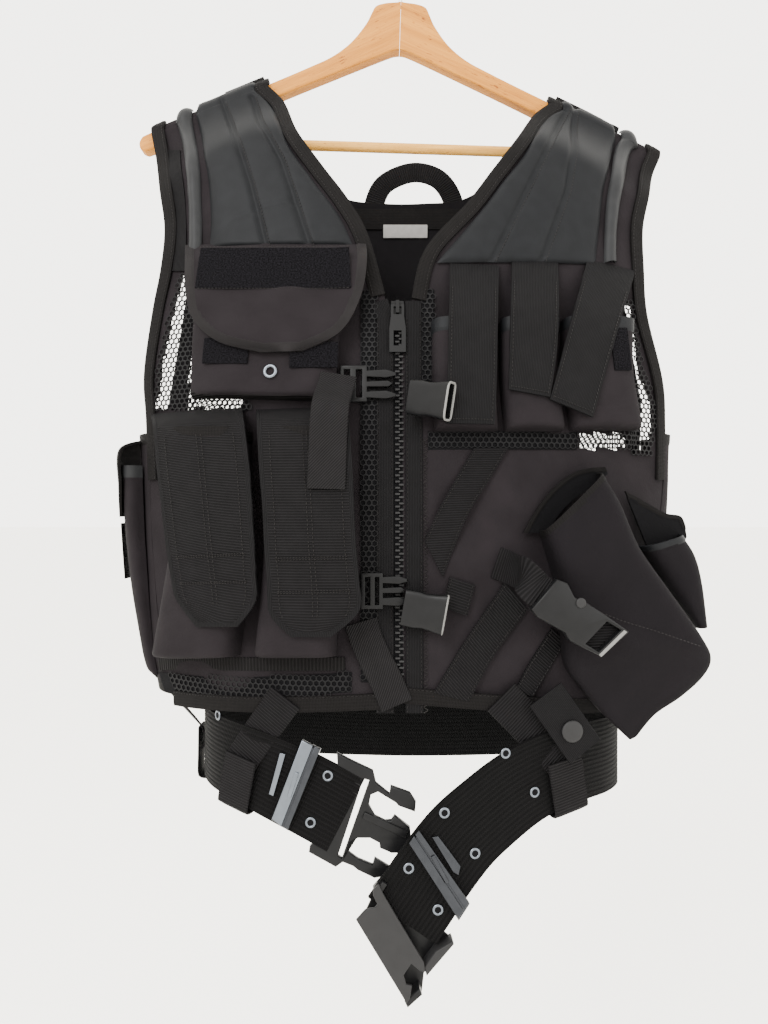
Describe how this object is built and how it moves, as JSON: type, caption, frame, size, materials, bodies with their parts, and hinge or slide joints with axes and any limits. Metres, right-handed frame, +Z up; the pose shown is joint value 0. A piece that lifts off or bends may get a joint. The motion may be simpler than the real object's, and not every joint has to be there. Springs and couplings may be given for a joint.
{
  "type": "load-bearing tactical vest with pistol belt on wooden coat hanger",
  "caption": "Zip-front black tactical vest with magazine and utility pouches, holster, padded shoulders and hung web belt, on a beech coat hanger.",
  "frame": {"origin": "the bearing point at the top of the inside of the hanger's hook, where it hangs on a rail", "axes": "+Z up, -Y out of the vest's front, +X to the viewer's right of the front"},
  "size_m": [0.4658, 0.1927, 0.8242],
  "materials": {
    "beech": "varnished beech, satin",
    "steel": "zinc plated wire",
    "black_cloth": "matt black nylon",
    "black_tape": "ribbed black webbing and tape",
    "grey_hide": "soft sheen, coated cloth",
    "black_plastic": "moulded, slight sheen",
    "belt_web": "heavy ribbed nylon webbing"
  },
  "bodies": {
    "vest": {"hanger_wood": "beech", "hanger_bar": "beech", "hanger_hook": "steel", "front_left": "black_cloth", "front_right": "black_cloth", "back_panel": "black_cloth", "side_left": "black_cloth", "side_right": "black_cloth", "shoulder_pad_left": "grey_hide", "shoulder_pad_right": "grey_hide", "shoulder_rib_left": "grey_hide", "shoulder_rib_right": "grey_hide", "shoulder_strap_left": "black_tape", "shoulder_strap_right": "black_tape", "neck_binding_left": "black_tape", "neck_binding_right": "black_tape", "armhole_binding_left": "black_tape", "armhole_binding_right": "black_tape", "hem_binding_left": "black_tape", "hem_binding_right": "black_tape", "zip_placket_left": "black_tape", "zip_placket_right": "black_tape", "zip_chain": "black_plastic", "zip_slider": "black_plastic", "id_pouch": "black_cloth", "id_flap": "black_cloth", "mag_pouch_1": "black_cloth", "mag_flap_1": "black_tape", "mag_pouch_2": "black_cloth", "mag_flap_2": "black_tape", "side_pouch": "black_cloth", "side_flap": "black_cloth", "small_pouch_1": "black_cloth", "small_flap_1": "black_tape", "small_pouch_2": "black_cloth", "small_flap_2": "black_tape", "small_pouch_3": "black_cloth", "small_flap_3": "black_tape", "webbing_1": "black_tape", "webbing_2": "black_tape", "holster": "black_cloth", "holster_pocket": "black_cloth", "holster_strap": "black_tape", "holster_buckle": "black_plastic", "upper_plug": "black_plastic", "upper_socket": "black_plastic", "upper_strap": "black_tape", "lower_plug": "black_plastic", "lower_socket": "black_plastic", "lower_strap": "black_tape", "belt": "belt_web", "keeper_left": "black_plastic", "keeper_right": "black_plastic", "belt_plug": "black_plastic", "belt_socket": "black_plastic", "belt_loop_left": "black_tape", "belt_loop_right": "black_tape", "belt_loop_side": "black_tape", "drag_handle": "black_tape"},
    "pull": {"zip_pull": "black_plastic"}
  },
  "joints": [
    {"name": "pull_swing", "type": "hinge", "parent": "vest", "child": "pull", "pos_m": [-0.0062, -0.0833, -0.34], "axis": [-1, 0, 0], "range_deg": [0, 150]}
  ]
}
